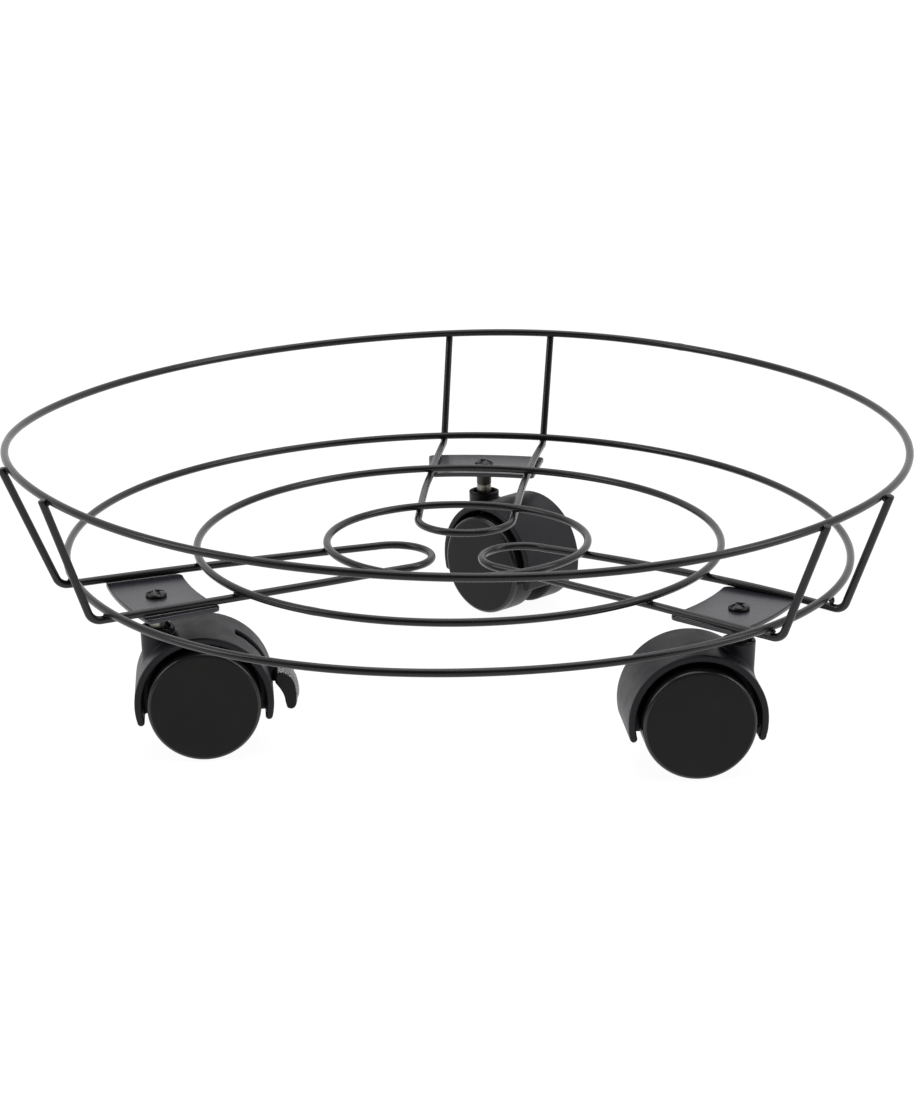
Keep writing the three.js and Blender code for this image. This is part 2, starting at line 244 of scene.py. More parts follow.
M_SCREW = metal("screw_black_zinc", (0.03, 0.03, 0.031), (0.055, 0.055, 0.057), 0.25, 0.4, (1, 1, 1))
M_SPRING = metal("spring_steel", (0.36, 0.36, 0.35), (0.5, 0.5, 0.49), 0.25, 0.4, (1, 1, 1))


def stem_material():
    # bare zinc low down, dark coat on the upper length under the plate
    m, nt, p, v = material("stem_zinc_and_coat")
    sep = nt.nodes.new("ShaderNodeSeparateXYZ")
    nt.links.new(v, sep.inputs[0])
    coat = span(nt, sep.outputs["Z"], (BOSS_TOP + 3.5) * MM, (BOSS_TOP + 3.9) * MM, 0.0, 1.0)
    mp = nt.nodes.new("ShaderNodeMapping")
    mp.inputs["Scale"].default_value = (0.15, 0.15, 6.0)
    nt.links.new(v, mp.inputs["Vector"])
    lines = noise(nt, mp.outputs[0], 900.0, 3.0)
    zinc = ramp(nt, noise(nt, v, 260.0, 3.0), [(0.3, (0.20, 0.19, 0.165)), (0.7, (0.31, 0.30, 0.26))])
    nt.links.new(mix_colour(nt, coat, zinc, (0.035, 0.028, 0.023)), p.inputs["Base Color"])
    nt.links.new(span(nt, coat, 0.0, 1.0, 1.0, 0.25), p.inputs["Metallic"])
    nt.links.new(span(nt, lines, 0.3, 0.7, 0.26, 0.4), p.inputs["Roughness"])
    bump(nt, p, lines, 0.25, 0.00003)
    return m


M_STEM = stem_material()


# ------------------------------------------------------------------ mesh helpers
def volume(v, faces):
    tri = np.array([(f[0], f[i], f[i + 1]) for f in faces for i in range(1, len(f) - 1)])
    a, b, c = v[tri[:, 0]], v[tri[:, 1]], v[tri[:, 2]]
    return float((a * np.cross(b, c)).sum() / 6)


def put(name, verts, faces, mat, body, replaces=(), matrix=None, flat=None, second=None):
    v = np.asarray(verts, float)
    if matrix is not None:
        v = v @ matrix[:3, :3].T + matrix[:3, 3]
    if volume(v, faces) < 0:
        faces = [tuple(f)[::-1] for f in faces]
    me = bpy.data.meshes.new(name)
    me.from_pydata((v * MM).tolist(), [], [tuple(int(i) for i in f) for f in faces])
    me.validate()
    me.update()
    nz = np.empty(len(me.polygons) * 3)
    me.polygons.foreach_get("normal", nz)
    nz = nz.reshape(-1, 3)
    level = np.zeros(len(nz), bool) if flat is None else np.abs(nz @ np.array(flat, float)) > 0.999
    me.polygons.foreach_set("use_smooth", (~level).tolist())
    ob = bpy.data.objects.new(name, me)
    bpy.context.scene.collection.objects.link(ob)
    me.materials.append(mat)
    if second is not None:
        me.materials.append(second[0])
        me.polygons.foreach_set("material_index", [1 if second[1](np.asarray(verts)[list(q)].mean(0)) else 0 for q in faces])
    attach(ob, body)
    if replaces:
        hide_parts(*replaces)
    return ob


def tube(points, radius, sides=20, closed=False, cap=0.45):
    """Round wire along points. Open ends get a small rounded edge of size cap."""
    p = np.asarray(points, float)
    n = len(p)
    rad = np.broadcast_to(np.asarray(radius, float), (n,)).copy()
    if closed:
        t = np.roll(p, -1, 0) - np.roll(p, 1, 0)
    else:
        t = np.gradient(p, axis=0)
    t /= np.linalg.norm(t, axis=1)[:, None]
    if not closed:
        bow = [(cap * (1 - math.cos(x)), cap * (1 - math.sin(x))) for x in (0.0, math.pi / 6, math.pi / 3)]
        rows = [(p[0] + t[0] * s, rad[0] - e, t[0]) for s, e in bow] + [(p[0] + t[0] * cap, rad[0], t[0])]
        rows += [(p[i], rad[i], t[i]) for i in range(1, n - 1)]
        rows += [(p[-1] - t[-1] * cap, rad[-1], t[-1])] + [(p[-1] - t[-1] * s, rad[-1] - e, t[-1]) for s, e in bow[::-1]]
        p, rad, t = (np.array([r[i] for r in rows]) for i in range(3))
        n = len(p)
    ref = np.array([0.0, 0.0, 1.0]) if abs(t[0][2]) < 0.9 else np.array([1.0, 0.0, 0.0])
    nrm = ref - t[0] * (ref @ t[0])
    nrm /= np.linalg.norm(nrm)
    ns = [nrm]
    for i in range(1, n):
        v = ns[-1] - t[i] * (ns[-1] @ t[i])
        ns.append(v / np.linalg.norm(v))
    ns = np.array(ns)
    bs = np.cross(t, ns)
    a = np.arange(sides) * 2 * math.pi / sides
    verts = p[:, None, :] + rad[:, None, None] * (np.cos(a)[None, :, None] * ns[:, None, :] + np.sin(a)[None, :, None] * bs[:, None, :])
    verts = verts.reshape(-1, 3)
    faces = []
    rows = n if closed else n - 1
    for i in range(rows):
        j = (i + 1) % n
        for k in range(sides):
            l = (k + 1) % sides
            faces.append((i * sides + k, i * sides + l, j * sides + l, j * sides + k))
    if not closed:
        c0, c1 = len(verts), len(verts) + 1
        verts = np.vstack([verts, p[0], p[-1]])
        for k in range(sides):
            l = (k + 1) % sides
            faces.append((c0, l, k))
            faces.append((c1, (n - 1) * sides + k, (n - 1) * sides + l))
    return verts, faces


def lathe(profile, segments=96):
    """Profile of (r, h) turned about Z. Ends on the axis are closed with fans; a closed profile repeats its first point."""
    prof = list(profile)
    ring = prof[0] == prof[-1]
    if ring:
        prof = prof[:-1]
    verts, rows = [], []
    for r, h in prof:
        if r < 1e-6:
            rows.append([len(verts)])
            verts.append((0, 0, h))
        else:
            rows.append(list(range(len(verts), len(verts) + segments)))
            for i in range(segments):
                a = 2 * math.pi * i / segments
                verts.append((r * math.cos(a), r * math.sin(a), h))
    faces = []
    pairs = list(zip(rows, rows[1:])) + ([(rows[-1], rows[0])] if ring else [])
    for a, b in pairs:
        for i in range(segments):
            j = (i + 1) % segments
            if len(a) == 1 and len(b) == 1:
                continue
            if len(a) == 1:
                faces.append((a[0], b[j], b[i]))
            elif len(b) == 1:
                faces.append((a[i], a[j], b[0]))
            else:
                faces.append((a[i], a[j], b[j], b[i]))
    return np.array(verts, float), faces


def rounded(profile, r=0.4, n=4):
    """Rounds the corners of an open profile."""
    out = [profile[0]]
    for a, b, c in zip(profile, profile[1:], profile[2:]):
        a, b, c = map(np.array, (a, b, c))
        la, lc = np.linalg.norm(a - b), np.linalg.norm(c - b)
        k = min(r, la * 0.45, lc * 0.45)
        p, q = b + (a - b) / la * k, b + (c - b) / lc * k
        for i in range(n + 1):
            s = i / n
            out.append(tuple((1 - s) ** 2 * p + 2 * s * (1 - s) * b + s * s * q))
    out.append(profile[-1])
    return [(max(float(x), 0.0), float(y)) for x, y in out]


def smin(a, b, k):
    h = np.clip(0.5 + 0.5 * (b - a) / k, 0, 1)
    return b * (1 - h) + a * h - k * h * (1 - h)


def smax(a, b, k):
    return -smin(-a, -b, k)


def slab_sdf(d2, half, y, r):
    w0, w1 = d2 + r, np.abs(y) - half + r
    return np.minimum(np.maximum(w0, w1), 0) + np.hypot(np.maximum(w0, 0), np.maximum(w1, 0)) - r


def arc_sdf(x, z, radius, a0, a1, half):
    """Thick arc with round ends; angles in degrees."""
    am, ah = math.radians((a0 + a1) / 2), math.radians((a1 - a0) / 2) - half / radius
    ang = np.arctan2(z, x) - am
    ang = (ang + math.pi) % (2 * math.pi) - math.pi
    r = np.hypot(x, z)
    inside = np.abs(ang) < ah
    s = np.where(ang > 0, 1.0, -1.0)
    ex, ez = radius * np.cos(am + s * ah), radius * np.sin(am + s * ah)
    return np.where(inside, np.abs(r - radius), np.hypot(x - ex, z - ez)) - half


def poly_sdf(x, z, pts):
    d = np.full(x.shape, 1e9)
    s = np.ones(x.shape)
    n = len(pts)
    for i in range(n):
        ax, az = pts[i]
        bx, bz = pts[i - 1]
        ex, ez = bx - ax, bz - az
        wx, wz = x - ax, z - az
        t = np.clip((wx * ex + wz * ez) / (ex * ex + ez * ez), 0, 1)
        d = np.minimum(d, (wx - ex * t) ** 2 + (wz - ez * t) ** 2)
        c1, c2, c3 = z >= az, z < bz, ex * wz > ez * wx
        flip = (c1 & c2 & c3) | (~c1 & ~c2 & ~c3)
        s = np.where(flip, -s, s)
    return s * np.sqrt(d)


def surface_net(f, lo, hi, h, steps=4):
    """Quad mesh of the zero surface of f, drawn on to the surface by a few Newton steps."""
    lo, hi = np.array(lo, float), np.array(hi, float)
    n = np.ceil((hi - lo) / h).astype(int) + 1
    ax = [lo[i] + h * np.arange(n[i]) for i in range(3)]
    g = np.stack(np.meshgrid(*ax, indexing="ij"), -1)
    val = np.empty(g.shape[:3])
    for i in range(0, n[0], 16):
        q = g[i:i + 16].reshape(-1, 3)
        val[i:i + 16] = f(q).reshape(g[i:i + 16].shape[:3])
    neg = val < 0
    offs = [(i, j, k) for i in (0, 1) for j in (0, 1) for k in (0, 1)]
    cut = lambda a, o: a[o[0]:n[0] - 1 + o[0], o[1]:n[1] - 1 + o[1], o[2]:n[2] - 1 + o[2]]
    cnt = sum(cut(neg, o).astype(int) for o in offs)
    mask = (cnt > 0) & (cnt < 8)
    cells = np.argwhere(mask)
    index = -np.ones(mask.shape, int)
    index[mask] = np.arange(len(cells))
    acc, w = np.zeros((len(cells), 3)), np.zeros(len(cells))
    for a in offs:
        for d in range(3):
            if a[d]:
                continue
            b = list(a)
            b[d] = 1
            ca, cb = cells + np.array(a), cells + np.array(b)
            va, vb = val[tuple(ca.T)], val[tuple(cb.T)]
            x = (va < 0) != (vb < 0)
            t = np.where(x, va / np.where(va == vb, 1, va - vb), 0)
            pos = ca + t[:, None] * (cb - ca)
            acc[x] += pos[x]
            w[x] += 1
    p = lo + h * acc / w[:, None]
    quads = []
    for d in range(3):
        e, q = [(1, 2), (2, 0), (0, 1)][d]
        a = [slice(None)] * 3
        b = [slice(None)] * 3
        a[d], b[d] = slice(0, n[d] - 1), slice(1, n[d])
        sa, sb = neg[tuple(a)], neg[tuple(b)]
        cr = np.argwhere(sa != sb)
        ok = (cr[:, e] > 0) & (cr[:, q] > 0) & (cr[:, e] < n[e] - 1) & (cr[:, q] < n[q] - 1)
        cr = cr[ok]
        s = sa[tuple(cr.T)]
        def cell(de, dq):
            c = cr.copy()
            c[:, e] -= de
            c[:, q] -= dq
            return index[tuple(c.T)]
        quad = np.stack([cell(0, 0), cell(1, 0), cell(1, 1), cell(0, 1)], 1)
        quad[~s] = quad[~s][:, ::-1]
        quads.append(quad)
    quads = np.vstack(quads)
    eps = 0.02
    for _ in range(steps):
        v = f(p)
        gr = np.stack([(f(p + np.eye(3)[i] * eps) - f(p - np.eye(3)[i] * eps)) / (2 * eps) for i in range(3)], 1)
        m = (gr ** 2).sum(1)
        step = (v / np.maximum(m, 0.2))[:, None] * gr
        ln = np.linalg.norm(step, axis=1)[:, None]
        p = p - step * np.minimum(1, 0.5 * h / np.maximum(ln, 1e-9))
    return p, quads


# ------------------------------------------------------------------ frame wires
def circle_points(radius, z, n, start=0.0):
    a = np.radians(start) + np.arange(n) * 2 * math.pi / n
    return np.stack([radius * np.cos(a), radius * np.sin(a), np.full(n, z)], 1), np.degrees(a)


def swelling(angles, at, width, height):
    """Small bulge of radius round the ring at an angle in degrees."""
    d = (angles - at + 180) % 360 - 180
    return height * np.exp(-(d / width) ** 2)


# Welded by hand: each base ring is slightly oval, and the rim is slightly wavy as well.
# Terms are the mean, then cosine and sine of once, twice, ... round the ring, in mm.
OVAL = {
    "rim_ring": [0.31, -0.22, -0.01, 0.04, -0.02, -0.41, -0.08, 0.34, 0.08, -0.13, -0.11, 0.13, 0.11],
    "base_ring_outer": [0.8, -0.71, 0.64, -0.78, 0.18, 0.09, -1.08, 0.12, -1.11, -0.12, 0.16],
    "base_ring_middle": [0.24, -0.37, 1.13, 0.74, 0.66, 0.27, -0.22],
    "base_ring_inner": [-0.76, -0.89, -0.61, 1.75, 0.37, 0.1, -0.08],
}
RIM_WAVE = [0.37, -0.34, -0.27, -0.15, 1.61, -0.05, -1.14, 0.06, 0.03, 0.05, -0.04, -0.2, 0.17]
RING_R = {"rim_ring": RIM_R, "base_ring_outer": OUTER_R, "base_ring_middle": MIDDLE_R, "base_ring_inner": INNER_R}


def wave(terms, a):
    out = terms[0] + 0.0 * a
    for k in range(1, (len(terms) - 1) // 2 + 1):
        out = out + terms[2 * k - 1] * np.cos(k * a) + terms[2 * k] * np.sin(k * a)
    return out


def ring_radius(name, a):
    return RING_R[name] + wave(OVAL[name], a)


def rim_height(a):
    return RIM_Z + wave(RIM_WAVE, a)


def ring(name, radius, z, n, joint_at, bulge):
    p, a = circle_points(radius, z, n)
    t = np.radians(a)
    p[:, :2] *= (ring_radius(name, t) / radius)[:, None]
    if name == "rim_ring":
        p[:, 2] = rim_height(t)
    r = WIRE_R + swelling(a, joint_at, 0.7 * 100 / radius, bulge) + 0.012 * np.sin(np.radians(a * 7)) + 0.01 * np.sin(np.radians(a * 17 + 40))
    v, f = tube(p, r, 20, closed=True)
    return put(name + "_wire", v, f, M_WIRE, "frame", [name], MID)


ring("rim_ring", RIM_R, RIM_Z, 420, 61.0, 0.16)
ring("base_ring_outer", OUTER_R, RING_Z, 380, 200.0, 0.12)
ring("base_ring_middle", MIDDLE_R, RING_Z, 300, 243.0, 0.20)
ring("base_ring_inner", INNER_R, RING_Z, 200, 78.0, 0.12)

UP_HALF, TWIST, CORNER_R, BEND_R = 25.5, 3.5, 176.3, 5.5
SPREAD = [(32.5, 17.0), (42, 17.75), (52, 18.6), (72, 20.7), (92, 22.3), (114, 23.5), (138, 24.6), (160, 25.3), (173, 25.5)]
# Each arm as it was bent: centre, radius and sideways shift of its end loop, half width along each leg,
# lift of each leg along the arm, and how far each upright's top leans to the side.
ARMS = {
    "rear": {"loop": (42.8, 21.7, 0.9), "lift": {1: [(0, 0), (180, 0)], -1: [(0, 0), (180, 0)]}, "top": {1: -0.4, -1: -0.6},
             "legs": {1: [(42.8, 22.6), (70, 23.6), (95, 24.1), (121, 23.7), (138, 23.7), (160, 23.2), (173, 22.8)],
                      -1: [(42.8, 20.8), (70, 21.2), (103, 22.0), (121, 23.0), (138, 23.9), (160, 25.7), (173, 27.0)]}},
    "left": {"corner": {1: 177.6, -1: 175.3}, "loop": (32.5, 17.4, -0.3), "lift": {1: [(0, 0), (180, 0)], -1: [(0, 0), (180, 0)]}, "top": {1: 3.9, -1: 1.7}, "tuck": {1: 0.5, -1: 0.0},
             "legs": {1: [(32.5, 17.1), (52, 18.2), (72, 19.8), (92, 21.0), (114, 22.0), (138, 23.2), (160, 24.3), (173, 25.0)],
                      -1: [(32.5, 17.7), (52, 19.6), (72, 21.2), (92, 22.9), (114, 24.2), (138, 25.2), (160, 25.8), (173, 26.0)]}},
    "right": {"corner": {1: 176.3, -1: 175.1}, "loop": (32.5, 17.4, 1.0), "lift": {1: [(0, 0.6), (100, 0.2), (140, -0.7), (180, -3.3)], -1: [(0, 0.6), (100, 0.5), (140, 0.0), (180, -1.1)]},
              "top": {1: 0.0, -1: 0.0}, "tuck": {1: 0.0, -1: 1.2},
              "legs": {1: [(32.5, 18.4), (52, 20.6), (72, 22.4), (92, 23.6), (114, 24.4), (138, 24.8), (160, 25.3), (173, 25.5)],
                       -1: [(32.5, 16.4), (52, 17.4), (72, 19.2), (92, 20.6), (114, 21.9), (138, 23.8), (160, 25.2), (173, 25.5)]}},
}


def smooth_at(table, x):
    k = np.array(table, float)
    x = float(np.clip(x, k[0, 0], k[-1, 0]))
    s = np.gradient(k[:, 1], k[:, 0])
    i = int(np.clip(np.searchsorted(k[:, 0], x) - 1, 0, len(k) - 2))
    h = k[i + 1, 0] - k[i, 0]
    t = (x - k[i, 0]) / h
    return ((2 * t**3 - 3 * t**2 + 1) * k[i, 1] + (t**3 - 2 * t**2 + t) * h * s[i]
            + (-2 * t**3 + 3 * t**2) * k[i + 1, 1] + (t**3 - t**2) * h * s[i + 1])


def leg_at(name, side, x):
    """Half width and height of a leg's centre line at x along the arm."""
    arm = ARMS[name]
    return smooth_at(arm["legs"][side], x), LEG_Z + smooth_at(arm["lift"][side], x)


def upright_top(name, side):
    """Where an upright passes the outside of the rim, in the arm's frame: x, half width, height of the rim there."""
    y = UP_HALF - side * TWIST + side * ARMS[name]["top"][side]
    x = RIM_R
    for _ in range(8):
        a = math.radians(CASTERS[name]) + math.atan2(side * y, x)
        past = float(ring_radius("rim_ring", a)) + (2 * WIRE_R + 0.05) / math.cos(math.radians(23.3))
        past -= ARMS[name]["tuck"][side] if "tuck" in ARMS[name] else 0.0
        x = math.sqrt(past * past - y * y)
    return x, y, float(rim_height(a))


def arm_half(name, side):
    arm = ARMS[name]
    tx, ty, tz = upright_top(name, side)
    z0 = leg_at(name, side, 173)[1]
    corner = arm["corner"][side] if "corner" in arm else CORNER_R
    lean = math.atan2(tx - corner, tz - z0)
    turn = math.pi / 2 - lean
    tang = BEND_R * math.tan(turn / 2)
    y0 = leg_at(name, side, 173)[0]
    width = lambda z: y0 + (ty - y0) * (z - z0) / (tz - z0)
    top_z = tz + 0.5
    pts = []
    top_r = corner + (top_z - z0) * math.tan(lean)
    bend_x = corner - tang
    up0 = np.array([bend_x + BEND_R * math.sin(turn), z0 + BEND_R * (1 - math.cos(turn))])
    for s in np.linspace(0, 1, 16)[:-1]:
        x, z = (1 - s) * top_r + s * up0[0], (1 - s) * top_z + s * up0[1]
        pts.append((x, width(z), z))
    for i in range(13):
        a = turn * (1 - i / 12)
        z = z0 + BEND_R * (1 - math.cos(a))
        pts.append((bend_x + BEND_R * math.sin(a), width(z), z))
    c, r, shift = arm["loop"]
    for x in np.arange(bend_x - 3, c + 1.4, -3.2):
        y, z = leg_at(name, side, x)
        pts.append((x, y, z))
    a0 = math.radians(-2.0)
    zl = LEG_Z + smooth_at(arm["lift"][side], c)
    for i in range(20):
        a = a0 + (math.pi / 2 - a0) * i / 20
        pts.append((c - r * math.sin(a), r * math.cos(a) + side * shift, zl))
    return pts


def arm_points(name):
    c, r, shift = ARMS[name]["loop"]
    one = arm_half(name, 1)
    two = [(x, -y, z) for x, y, z in arm_half(name, -1)][::-1]
    tip = (c - r, shift, one[-1][2])
    return one + [tip] + two


def crossing(name, side, ring_name):
    """Where a leg passes under a ring, in the arm's frame."""
    for x in np.arange(36.0, 174.0, 0.5):
        y, z = leg_at(name, side, x)
        a = math.radians(CASTERS[name]) + math.atan2(side * y, x)
        if math.hypot(x, y) >= ring_radius(ring_name, a):
            return x, side * y, z
    raise ValueError(ring_name)


# ------------------------------------------------------------------ welds
def blob(centre, axes, radii, seed, n=(14, 10)):
    """A small uneven bead of weld metal: a lumpy ellipsoid."""
    rng = np.random.default_rng(seed)
    ph = rng.uniform(0, 6.28, 4)
    verts, faces = [], []
    nu, nv = n
    for j in range(1, nv):
        t = math.pi * j / nv
        for i in range(nu):
            a = 2 * math.pi * i / nu
            k = 1 + 0.07 * math.sin(3 * a + ph[0]) * math.sin(t) + 0.06 * math.sin(2 * t + ph[1]) + 0.04 * math.sin(5 * a + ph[2])
            verts.append((k * math.sin(t) * math.cos(a), k * math.sin(t) * math.sin(a), math.cos(t)))
    top, bot = len(verts), len(verts) + 1
    verts += [(0, 0, 1), (0, 0, -1)]
    for j in range(nv - 2):
        for i in range(nu):
            k = (i + 1) % nu
            faces.append((j * nu + i, (j + 1) * nu + i, (j + 1) * nu + k, j * nu + k))
    for i in range(nu):
        k = (i + 1) % nu
        faces.append((top, i, k))
        faces.append((bot, (nv - 2) * nu + k, (nv - 2) * nu + i))
    v = np.array(verts) * np.array(radii)
    return v @ np.array(axes, float) + np.array(centre, float), faces


def merge(parts):
    vs, fs, n = [], [], 0
    for v, f in parts:
        vs.append(v)
        fs += [tuple(i + n for i in q) for q in f]
        n += len(v)
    return np.vstack(vs), fs


def welds(name):
    parts, seed = [], 11 * (1 + sorted(CASTERS).index(name))
    for ring_name in ("base_ring_outer", "base_ring_middle", "base_ring_inner"):
        for side in (1, -1):
            x, y, z = crossing(name, side, ring_name)
            ang = math.atan2(y, x)
            ax = [(math.cos(ang), math.sin(ang), 0), (-math.sin(ang), math.cos(ang), 0), (0, 0, 1)]
            parts.append(blob((x, y, (RING_Z + z) / 2), ax, (1.2, 1.2, max(0.9, (RING_Z - z) / 2 - WIRE_R + 0.35)), seed))
            seed += 1
    # rim: beads where the uprights meet it
    for side in (1, -1):
        tx, ty, tz = upright_top(name, side)
        lean = math.atan2(tx - CORNER_R, tz - LEG_Z)
        y = side * ty
        a = math.atan2(y, tx)
        out = np.array([math.cos(a), math.sin(a), 0.0])
        across = np.array([-math.sin(a), math.cos(a), 0.0])
        along = np.array([math.sin(lean), 0.0, math.cos(lean)])
        c = np.array([tx, y, tz]) - out * 2.0 - along * 0.7
        parts.append(blob(c, [out, across, (0, 0, 1)], (1.0, 2.1, 1.7), seed))
        seed += 1
    return merge(parts)


# ------------------------------------------------------------------ plates, screws, stems
PLATE_R0, PLATE_R1, PLATE_H0, PLATE_H1 = 124.5, 158.0, 25.6, 29.0


def plate_mesh():
    """Pressed sheet sector with rounded corners and edges, drawn as stacked outlines."""
    def outline(inset):
        c = 3.0
        r0, r1 = PLATE_R0 + inset, PLATE_R1 - inset
        h0, h1 = PLATE_H0 - inset, PLATE_H1 - inset
        pts = []
        a1 = math.asin((h1 - c) / r1)
        for i in range(33):
            a = -a1 + 2 * a1 * i / 32
            pts.append((r1 * math.cos(a), r1 * math.sin(a)))
        xo, xi = r1 * math.cos(a1), r0 * math.cos(math.asin((h0 - c) / r0))
        slope = (h1 - h0) / (r1 - r0)
        at = lambda x: h0 + (x - r0) * slope
        def corner(p0, p1, p2, n=6):
            for i in range(1, n + 1):
                s = i / n
                pts.append(tuple((1 - s) ** 2 * np.array(p0) + 2 * s * (1 - s) * np.array(p1) + s * s * np.array(p2)))
        corner((xo, h1 - c), (xo - 0.6, h1 - 0.1), (xo - c, at(xo - c)))
        for i in range(1, 10):
            x = (xo - c) + ((xi + c) - (xo - c)) * i / 10
            pts.append((x, at(x)))
        pts.append((xi + c, at(xi + c)))
        corner((xi + c, at(xi + c)), (xi + 0.3, h0 - 0.1), (xi, h0 - c))
        a0 = math.asin((h0 - c) / r0)
        for i in range(1, 27):
            a = a0 - 2 * a0 * i / 26
            pts.append((r0 * math.cos(a), r0 * math.sin(a)))
        pts.append((xi, -(h0 - c)))
        corner((xi, -(h0 - c)), (xi + 0.3, -h0 + 0.1), (xi + c, -at(xi + c)))
        for i in range(1, 10):
            x = (xi + c) + ((xo - c) - (xi + c)) * i / 10
            pts.append((x, -at(x)))
        pts.append((xo - c, -at(xo - c)))
        corner((xo - c, -at(xo - c)), (xo - 0.6, -h1 + 0.1), (xo, -(h1 - c)))
        return np.array(pts[:-1])
    hole_r, hx = 2.7, STEM_AT
    nh = 48
    ha = np.arange(nh) * 2 * math.pi / nh
    levels = [(0.32, PLATE_Z0), (0.1, PLATE_Z0 + 0.1), (0.0, PLATE_Z0 + 0.35), (0.0, PLATE_Z1 - 0.5), (0.12, PLATE_Z1 - 0.14), (0.45, PLATE_Z1)]
    rings = [np.column_stack([outline(i), np.full(len(outline(i)), z)]) for i, z in levels]
    n = len(rings[0])
    verts = list(np.vstack(rings))
    faces = []
    for r in range(len(rings) - 1):
        for i in range(n):
            j = (i + 1) % n
            faces.append((r * n + i, r * n + j, (r + 1) * n + j, (r + 1) * n + i))
    m, k = n, nh
    def face_ring(level, hole_z, up):
        base = level * n
        # bridge the outline to the screw hole by angle about the hole
        o = np.array(verts[base:base + n])
        oa = np.arctan2(o[:, 1], o[:, 0] - hx)
        hb = len(verts)
        for a in ha:
            verts.append(np.array([hx + hole_r * math.cos(a), hole_r * math.sin(a), hole_z]))
        idx = [base + i for i in range(n)]
        i0 = int(np.argmin(np.abs(oa)))
        oi = [idx[(i0 + i) % n] for i in range(n)] + [idx[i0]]
        oang = [oa[(i0 + i) % n] for i in range(n)]
        oang = np.unwrap(np.array(oang + [oang[0] + 2 * math.pi]))
        if oang[-1] < oang[0]:
            raise ValueError("outline runs the wrong way")
        hi_ = [hb + i for i in range(nh)] + [hb]
        hang = np.append(ha, 2 * math.pi)
        i = j = 0
        while i < n or j < nh:
            if j >= nh or (i < n and oang[i + 1] - oang[0] <= hang[j + 1]):
                tri = (oi[i], oi[i + 1], hi_[j])
                i += 1
            else:
                tri = (oi[i], hi_[j + 1], hi_[j])
                j += 1
            faces.append(tri if up else tri[::-1])
        return hb
    top = face_ring(len(rings) - 1, PLATE_Z1, True)
    bot = face_ring(0, PLATE_Z0, False)
    for i in range(nh):
        j = (i + 1) % nh
        faces.append((top + i, top + j, bot + j, bot + i))
    return np.array(verts), faces


STEM_AT = float(np.linalg.norm(np.array(JOINTS["swivel_rear"]["pos_m"][:2]) / MM - CENTRE))


# How far each plate was pushed along and across its arm when it was screwed down, and its width against nominal.
PLATE_PUSH = {"rear": (1.4, 0.0, 1.0), "left": (-0.9, 0.0, 1.0), "right": (-1.1, 0.7, 0.93)}


def screw_sdf(p):
    x, y, z = p[:, 0], p[:, 1], p[:, 2] - (PLATE_Z1 + 0.02)
    r = np.hypot(x, y)
    dome = np.sqrt(x * x + y * y + (z + 6.6) ** 2) - 9.15
    head = smax(smax(r - 4.5, -z, 0.35), dome, 0.8)
    body = smax(r - 2.3, np.maximum(z - 1.0, -z - 4.0), 0.1)
    d = smin(head, body, 0.1)
    c, s = math.cos(0.35), math.sin(0.35)
    u, v = x * c + y * s, -x * s + y * c
    slot = lambda a, b: smax(np.maximum(np.abs(a) - 0.72, 1.15 - z), np.abs(b) - 6.0, 0.1)
    cross = smin(slot(u, v), slot(v, u), 0.3)
    well = np.hypot(r, (z - 2.7) * 0.9) - 1.75
    return smax(d, -smin(cross, well, 0.4), 0.22)


def stem_profile(top):
    r = 3.5
    return rounded([(0, 29.0), (2.6, 29.0), (r, 30.0), (r, 48.4), (r - 0.6, 48.4), (r - 0.6, 50.0), (r, 50.0),
                    (r, BOSS_TOP + 3.4), (r - 0.15, BOSS_TOP + 3.5), (r - 0.15, BOSS_TOP + 3.8), (r + 0.1, BOSS_TOP + 4.0),
                    (r + 0.1, top - 0.4), (r + 0.9, top - 0.3), (r + 0.9, top), (0, top)], 0.12, 3)


